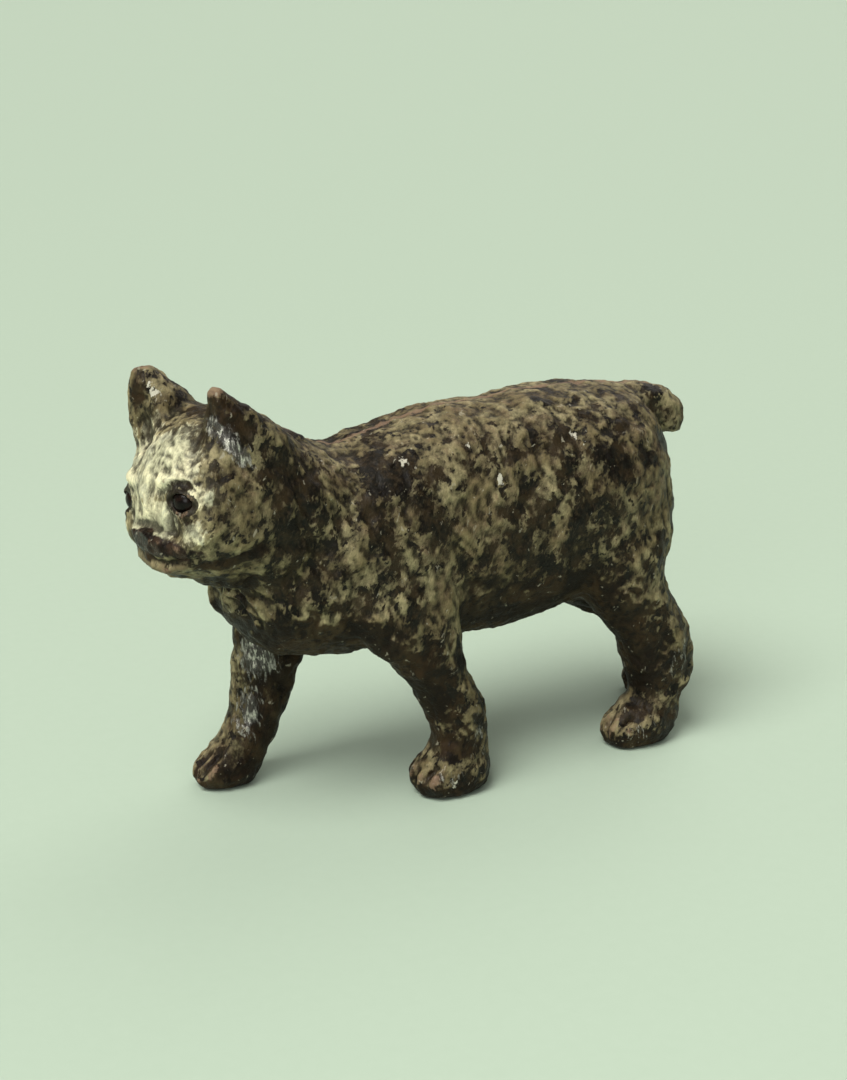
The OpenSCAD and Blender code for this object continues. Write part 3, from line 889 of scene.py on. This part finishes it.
def worn_paint():
    """Olive paint over black iron, with torn black patches, a pale face and chips; painted shade lies in the
    grooves, under the brows and under the body, with painted highlights on the ridges.
    """
    coat = Finish("worn_paint")
    groove, pale, muzzle = (coat.attribute(a) for a in ("groove", "pale", "muzzle"))
    lip, eye_lines_and_brow_shade, dense = (coat.attribute(a) for a in ("lip", "eye_lines_and_brow_shade", "dense"))
    shade_and_grime, silver, worn, chipped = (coat.attribute(a) for a in ("shade_and_grime", "silver", "worn", "chipped"))
    lean = math.radians(-24)

    # the paint itself: olive, with greener, browner and greyer clouds
    clouds = coat.grain((8, 8, 10), 0, 3)
    cloudy = coat.grain((3.6, 3.6, 5), 0.5, 5, 0.68)
    speckle = coat.grain((0.5, 0.5, 0.7), lean, 3, 0.7)
    hair = coat.grain((0.75, 0.75, 3.2), lean, 4, 0.62, 0.5)
    olive = coat.mix(clouds.over(0.4, 0.62), (0.105, 0.083, 0.041), (0.19, 0.162, 0.088))
    olive = coat.mix(cloudy.over(0.5, 0.66) * 0.6, olive, (0.105, 0.07, 0.042))
    olive = coat.mix(cloudy.over(0.47, 0.33) * 0.5, olive, (0.165, 0.15, 0.078))
    cream = coat.mix(clouds.over(0.38, 0.6), (0.37, 0.36, 0.235), (0.5, 0.465, 0.305))
    cream = coat.mix(cloudy.over(0.5, 0.62) * 0.7, cream, (0.25, 0.25, 0.18))
    cream_share = (pale * 1.1 + (cloudy - 0.5) * 2.2 + (hair - 0.5) * 1.2 - 0.2).over(0.12, 0.6)
    paint = coat.mix(cream_share, olive, cream)
    # Painted shade and highlight: the groove term darkens the paint in grooves and lightens it on ridges; the
    # speckle and hair terms are the paint's own random tone.
    light = ((speckle - 0.5) * 2.0 + (hair - 0.5) * 1.8 - groove * 0.8 + 1.05).most(0.25)
    shade = coat.node("CombineColor", {}, {0: light, 1: light, 2: light})
    paint = coat.mix(1.0, paint, shade, "MULTIPLY")

    # torn black patches, in three sizes, in smoky surroundings
    long_patches = coat.grain((4.6, 4.6, 7), lean, 6, 0.6, 0.25)
    short_patches = coat.grain((2.0, 2.0, 2.8), lean, 5, 0.58, 0.25)
    flecks = coat.grain((0.75, 0.75, 1.3), lean, 3, 0.6)
    share = (dense - 0.5) * 0.36
    smoke = (long_patches * 0.7 + short_patches * 0.3 + share).over(0.43, 0.56)
    paint = coat.mix(smoke * (0.62 - pale * 0.55).most(0.0), paint, (0.034, 0.026, 0.015))
    torn = (long_patches + share + (flecks - 0.5) * 0.16).over(0.525, 0.57)
    # The groove terms pull the short patches and flecks a little into the grooves: a little painted shade.
    torn = torn.most((short_patches + share * 0.8 + groove * 0.03).over(0.56, 0.61))
    torn = torn.most((flecks + share * 0.7 + groove * 0.06).over(0.66, 0.7) * 0.85)
    torn = torn * (1.0 - pale * 0.72).most(0.0)
    # Painted shade: black laid into the carved grooves of the fur and toes, more where the patches lie thick.
    groove_shade = (groove + (flecks - 0.5) * 1.4).over(0.2, 0.7) * 0.85
    torn = torn.most(groove_shade * (dense * 1.3).least(1.0))
    # The dark eye lines and the painted shade under the brows join the black.
    torn = torn.most((eye_lines_and_brow_shade + (flecks - 0.5) * 1.1).over(0.4, 0.62) * 0.95)
    black = coat.mix(short_patches.over(0.42, 0.6), (0.0035, 0.0022, 0.001), (0.009, 0.0075, 0.005))
    black = coat.mix(cloudy.over(0.42, 0.62) * 0.8, black, (0.036, 0.024, 0.011))
    black = coat.mix(flecks.over(0.54, 0.7) * 0.55, black, (0.055, 0.041, 0.026))
    black = coat.mix(eye_lines_and_brow_shade * 0.8, black, (0.007, 0.0042, 0.0025))
    colour = coat.mix(torn, paint, black)

    # painted shade with some grime below and between the legs, dark and brown
    shade_and_dirt_share = (shade_and_grime * 1.15 + (cloudy - 0.5) * 1.1 + (flecks - 0.5) * 0.5).over(0.15, 0.6)
    shade_and_dirt_colour = coat.mix(clouds.over(0.42, 0.6), (0.009, 0.0046, 0.002), (0.032, 0.018, 0.007))
    shade_and_dirt_colour = coat.mix(short_patches.over(0.5, 0.62) * 0.7, shade_and_dirt_colour, (0.004, 0.0022, 0.0012))
    colour = coat.mix(shade_and_dirt_share * 0.94, colour, shade_and_dirt_colour)

    # the dark glossy muzzle and the tan lower lip
    nose = (muzzle + (cloudy - 0.5) * 0.7 + (flecks - 0.5) * 0.35).over(0.36, 0.56)
    nose_colour = coat.mix(cloudy.over(0.4, 0.62), (0.006, 0.0035, 0.002), (0.04, 0.024, 0.015))
    colour = coat.mix(nose, colour, nose_colour)
    colour = coat.mix((lip + (cloudy - 0.5) * 0.6).over(0.42, 0.7) * 0.85, colour, (0.2, 0.155, 0.085))

    # grey polished metal in streaks, worn high edges, white chips
    streaks = coat.grain((0.9, 0.9, 3.4), math.radians(12), 5, 0.68, 0.3)
    steel = (silver * 0.85 + (streaks - 0.5) * 1.7 + (cloudy - 0.5) * 0.9).over(0.42, 0.72)
    steel_colour = coat.mix(streaks.over(0.48, 0.64), (0.07, 0.066, 0.06), (0.42, 0.41, 0.36))
    colour = coat.mix(steel * 0.85, colour, steel_colour)
    bright = (silver + (streaks - 0.5) * 2.4 + (flecks - 0.5) * 0.8).over(1.05, 1.25)
    colour = coat.mix(bright * 0.8, colour, (0.56, 0.54, 0.46))
    edges = (worn * 0.9 + (cloudy - 0.5) * 1.5 + (speckle - 0.5) * 0.6).over(0.42, 0.72)
    colour = coat.mix(edges * 0.72, colour, (0.25, 0.165, 0.105))
    white = (chipped + (flecks - 0.5) * 4.2 + (speckle - 0.5) * 2.0).over(0.4, 0.8)
    white = white * chipped.over(0.02, 0.25)
    colour = coat.mix(white * 0.9, colour, (0.62, 0.59, 0.48))
    dusty = (coat.grain((1.5, 1.5, 2.4), lean, 4, 0.6, 0.5) - groove * 0.05).over(0.67, 0.71)
    colour = coat.mix(dusty * 0.55, colour, (0.4, 0.37, 0.28))

    bare = (torn * 0.9).most(nose)
    gloss = 0.56 - bare * 0.14 - steel * 0.18 - nose * 0.12 + (speckle - 0.5) * 0.4
    coat.give(Base_Color=colour, Roughness=gloss, Metallic=(steel * 0.4 + bright * 0.25))
    coat.give(Specular_IOR_Level=0.14)
    coat.relief(hair * 0.5 + speckle * 0.5 + flecks * 0.7 - torn * 0.35 + white * 0.3, 0.22)
    return coat.material


def bare_iron():
    """Grey-brown iron as cast inside, ground brighter where the halves meet."""
    iron = Finish("bare_iron")
    depth = iron.node("SeparateXYZ", {}, {0: iron.place}, 1)
    ground = (depth * 1000.0).size().over(0.3, 0.12)
    sand = iron.grain((0.6, 0.6, 0.6), 0, 4, 0.65)
    blotch = iron.grain((6, 6, 6), 0, 5, 0.62, 0.4)
    scratch = iron.grain((7, 7, 0.16), 0.35, 3, 0.6)
    cast = iron.mix(blotch.over(0.4, 0.62), (0.05, 0.042, 0.036), (0.13, 0.115, 0.1))
    cast = iron.mix((blotch + (sand - 0.5) * 0.5).over(0.56, 0.7) * 0.8, cast, (0.15, 0.06, 0.024))
    filed = iron.mix(scratch.over(0.35, 0.65), (0.16, 0.15, 0.14), (0.36, 0.35, 0.33))
    filed = iron.mix((blotch + (sand - 0.5) * 0.7).over(0.5, 0.66) * 0.85, filed, (0.12, 0.06, 0.03))
    iron.give(Base_Color=iron.mix(ground, cast, filed), Roughness=0.78 - ground * 0.3 + (sand - 0.5) * 0.2,
              Metallic=ground * 0.7 + 0.15)
    iron.relief(sand + blotch * 0.5 + scratch * ground * 0.3, 0.18)
    return iron.material


def old_steel():
    """Dull steel with brown rust in its low places, for screws and nuts."""
    steel = Finish("old_steel")
    sand = steel.grain((0.35, 0.35, 0.35), 0, 4, 0.65)
    blotch = steel.grain((1.6, 1.6, 1.6), 0, 5, 0.62, 0.5)
    groove = steel.attribute("groove")
    metal = steel.mix(blotch.over(0.4, 0.6), (0.2, 0.19, 0.175), (0.42, 0.4, 0.37))
    rusty = (blotch + groove * 0.16 + (sand - 0.5) * 0.3).over(0.53, 0.66)
    rust = steel.mix(sand.over(0.4, 0.62), (0.06, 0.026, 0.012), (0.18, 0.075, 0.03))
    steel.give(Base_Color=steel.mix(rusty, metal, rust), Roughness=0.42 + rusty * 0.38,
               Metallic=0.95 - rusty * 0.85)
    steel.relief(sand * 0.6 + blotch * 0.5 + rusty * 0.4, 0.08)
    return steel.material


def dark_glass():
    """Almost black brown glass under a clear, slightly scuffed surface."""
    glass = Finish("dark_glass")
    depth = glass.grain((1.4, 1.4, 1.4), 0, 3, 0.55)
    scuff = glass.grain((0.25, 0.25, 0.9), 0.6, 3, 0.6)
    fleck = scuff.over(0.62, 0.72)
    colour = glass.mix(depth.over(0.4, 0.64), (0.003, 0.0018, 0.0014), (0.012, 0.006, 0.004))
    glass.give(Base_Color=glass.mix(fleck * 0.15, colour, (0.06, 0.05, 0.04)),
               Roughness=0.24 + fleck * 0.25, Specular_IOR_Level=0.16)
    glass.relief(depth * 0.4 + scuff * 0.1, 0.05)
    return glass.material


def pale_floor():
    """A matt sheet in pale sage, with the faintest grain."""
    sheet = Finish("pale_floor")
    tooth = sheet.grain((3, 3, 3), 0, 3)
    shade = sheet.mix(tooth, (0.46, 0.575, 0.455), (0.48, 0.595, 0.475))
    sheet.give(Base_Color=shade, Roughness=0.92)
    return sheet.material


# ---------------------------------------------------------------- the two half castings

PAINT, IRON = worn_paint(), bare_iron()


def painted(piece):
    """Smooth faces with crisp cut edges, and the marks that the two finishes read."""
    mesh = piece.data
    mesh.polygons.foreach_set("use_smooth", np.ones(len(mesh.polygons), bool))
    mesh.set_sharp_from_angle(angle=math.radians(58))
    mark(piece)


for finish in (PAINT, IRON):
    skin.data.materials.append(finish)
space = coin_space()
for name, side in (("left_half", -1), ("right_half", 1)):
    casting = half(name + "_casting", side, space)
    painted(casting)
    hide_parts(name)
    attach(casting, name)
dropped(skin, space)

# ---------------------------------------------------------------- eyes, screws and nuts


def finished(piece, material, node, body, sharp=40):
    """Gives a detailed piece its finish, and lets it stand for its CAD node."""
    mesh = piece.data
    mesh.materials.clear()
    mesh.materials.append(material)
    mesh.polygons.foreach_set("use_smooth", np.ones(len(mesh.polygons), bool))
    mesh.set_sharp_from_angle(angle=math.radians(sharp))
    p, n, edges = drawn(points_of(mesh)), normals_of(mesh), edges_of(mesh)
    tell(mesh, "groove", np.clip(((spread(p, edges, 3) - p) * n).sum(-1) / 0.06, -1, 1))
    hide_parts(node)
    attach(piece, body)


GLASS, STEEL = dark_glass(), old_steel()


def glass_eye(side):
    """A glass bead of radius sin(a) at height cos(a), flattened in front to 0.7 of its height,
    with a faint bulge in its middle."""
    out, across = eye_axes(side)
    rise = np.cross(out, across)
    a = np.linspace(0.03, np.pi - 0.03, 36)[:, None]
    t = np.linspace(0, 2 * np.pi, 56, endpoint=False)[None, :]
    r = EYE_R * np.sin(a)
    h = EYE_R * np.cos(a)
    front = np.clip(np.cos(a), 0, 1)
    h = h * (1 - 0.3 * np.clip(np.cos(a) * 3, 0, 1)) + 0.05 * np.exp(-((r / 0.95) ** 2)) * front
    ring = (r * np.cos(t))[..., None] * across + (r * np.sin(t))[..., None] * rise
    return lofts(side + "_glass_eye", [EYES[side] + ring + (h + 0 * t)[..., None] * out])


for side in EYES:
    finished(glass_eye(side), GLASS, side + "_eye", side + "_half", 80)

PITCH, THREAD = 0.8, 0.34
HEAD_H, NUT_H = 2.6, 3.05
THREAD_CLEAR = 0.05


def thread(y, t, depth):
    """A triangle wave that climbs one pitch per turn: 0 on the crest, depth in the root."""
    phase = (y / PITCH - t / (2 * np.pi)) % 1.0
    return depth * (1 - np.abs(2 * phase - 1))


def machine_screw(name):
    """A slotted round-head screw about Y: r(y, t) is the shank less its thread, and the head's
    dome is r = R sqrt(1 - h^2) above a short straight rim."""
    a, b = (drawn(c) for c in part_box(name + "_screw"))
    at = middle(name + "_screw")
    tip, top = a[1], b[1]
    seat = top - HEAD_H
    t = np.linspace(0, 2 * np.pi, 60, endpoint=False)[None, :]
    y = np.linspace(tip + 0.8, seat - 0.9, int((seat - tip) / PITCH * 9))[:, None]
    run_out = np.clip((seat - 3.4 - y) / 1.5, 0, 1)
    shank = SCREW_R - thread(y, t, THREAD) * run_out * np.clip((y - tip) / 1.4, 0, 1)
    point = np.array([[tip, 0.3], [tip, 1.3], [tip + 0.4, 1.6]])
    h = np.linspace(0, 1, 12)[:, None]
    rim = 1.1
    dome = np.concatenate([seat + rim + (HEAD_H - rim) * np.sin(h * np.pi / 2),
                           HEAD_R * np.cos(h * np.pi / 2 * 0.985)], 1)
    head = np.concatenate([[[seat - 0.5, SCREW_R], [seat, SCREW_R], [seat, HEAD_R - 0.15],
                            [seat + 0.15, HEAD_R]], dome])
    r = np.concatenate([point[:, 1:] + 0 * t, shank, head[:, 1:] + 0 * t])
    depth = np.concatenate([point[:, :1], y, head[:, :1]]) + 0 * t
    piece = lofts(name + "_machine_screw", [np.stack([at[0] + r * np.cos(t), depth,
                                                      at[2] + r * np.sin(t)], -1)])
    slot_cut = block("slot_cut", (at[0], top, at[2]), (12, 2.6, 1.2))
    cut(piece, slot_cut, "DIFFERENCE")
    dropped(slot_cut)
    return piece


def square_nut(name):
    """A closed profile carried round Y: the outer wall is a square's radius under a chamfer
    cone, min(w / 2 / max(|cos|, |sin|), cone), and the bore is threaded."""
    a, b = (drawn(c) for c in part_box(name + "_nut"))
    at = middle(name + "_nut")
    t = np.linspace(0, 2 * np.pi, 72, endpoint=False)[None, :]
    square = np.minimum(NUT_W / 2 / np.maximum(np.abs(np.cos(t)), np.abs(np.sin(t))), NUT_W * 0.68)
    y0, y1 = a[1], b[1]
    levels = np.linspace(0, 1, 9)[:, None]
    bore_y = y1 + (y0 - y1) * np.linspace(0, 1, 34)[:, None]
    cone = NUT_W * 0.545 + 1.9 * np.minimum(levels, 1 - levels) * NUT_H
    wall_r = np.minimum(square, cone)
    bore_r = SCREW_R + THREAD_CLEAR + thread(bore_y, t, THREAD)
    ease = np.clip(1 - np.minimum(y1 - bore_y, bore_y - y0) / 0.4, 0, 1) * 0.35
    r = np.concatenate([wall_r, bore_r + ease, wall_r[:1]])
    y = np.concatenate([y0 + (y1 - y0) * levels, bore_y, [[y0]]]) + 0 * t
    ring = np.stack([at[0] + r * np.cos(t), y, at[2] + r * np.sin(t)], -1)
    return lofts(name + "_square_nut", [ring])


for name in SCREWS:
    finished(machine_screw(name), STEEL, name + "_screw", name + "_screw")
    finished(square_nut(name), STEEL, name + "_nut", "left_half")

# ---------------------------------------------------------------- floor, light and camera

REACH = 12
BELOW = -0.0001
floor = object_of("floor", mesh_of("floor", [(-REACH, -REACH, BELOW), (REACH, -REACH, BELOW),
                                             (REACH, REACH, BELOW), (-REACH, REACH, BELOW)],
                                   [[0, 1, 2, 3]]))
floor.data.materials.append(pale_floor())


def aimed(holder, place, at):
    """Puts a lamp or the camera at a place and turns it towards a point."""
    holder.location = place
    holder.rotation_euler = Vector(np.array(at) - place).to_track_quat("-Z", "Y").to_euler()
    bpy.context.scene.collection.objects.link(holder)


def lit(name, kind, place, watts, colour=(1, 1, 1), **settings):
    """A lamp that shines from a place towards the cat."""
    lamp = bpy.data.lights.new(name, kind)
    lamp.energy = watts
    lamp.color = colour
    for key, value in settings.items():
        setattr(lamp, key, value)
    aimed(bpy.data.objects.new(name, lamp), np.array(place), (0, 0, 0.05))


lit("sky_panel", "SUN", (-0.52, -0.22, 0.95), 3.0, (1, 0.98, 0.94), angle=0.6)
lit("back_panel", "SUN", (0.55, 0.4, 0.7), 0.75, (1, 0.98, 0.94), angle=0.9)
lit("front_panel", "AREA", (-0.5, -0.5, 0.3), 1.2, shape="DISK", size=0.3)
world = bpy.data.worlds.new("room")
bpy.context.scene.world = world
world.use_nodes = True
world.node_tree.nodes["Background"].inputs["Color"].default_value = (0.95, 0.92, 0.84, 1)
world.node_tree.nodes["Background"].inputs["Strength"].default_value = 0.22
bpy.context.scene.view_settings.view_transform = "Standard"

AZIMUTH, ELEVATION = math.radians(-31), math.radians(17)
DISTANCE = 420 * MM
back = np.array([math.sin(AZIMUTH) * math.cos(ELEVATION), -math.cos(AZIMUTH) * math.cos(ELEVATION),
                 math.sin(ELEVATION)])
right = np.array([math.cos(AZIMUTH), math.sin(AZIMUTH), 0])
up = np.cross(back, right)
target = placed((0, 0, 50)) + (right * 3.2 + up * 4.2) * MM
lens = bpy.data.cameras.new("camera")
lens.sensor_width = 36
lens.lens = 63
lens.clip_start = 0.01
camera = bpy.data.objects.new("camera", lens)
aimed(camera, target + back * DISTANCE, target)
bpy.context.scene.camera = camera
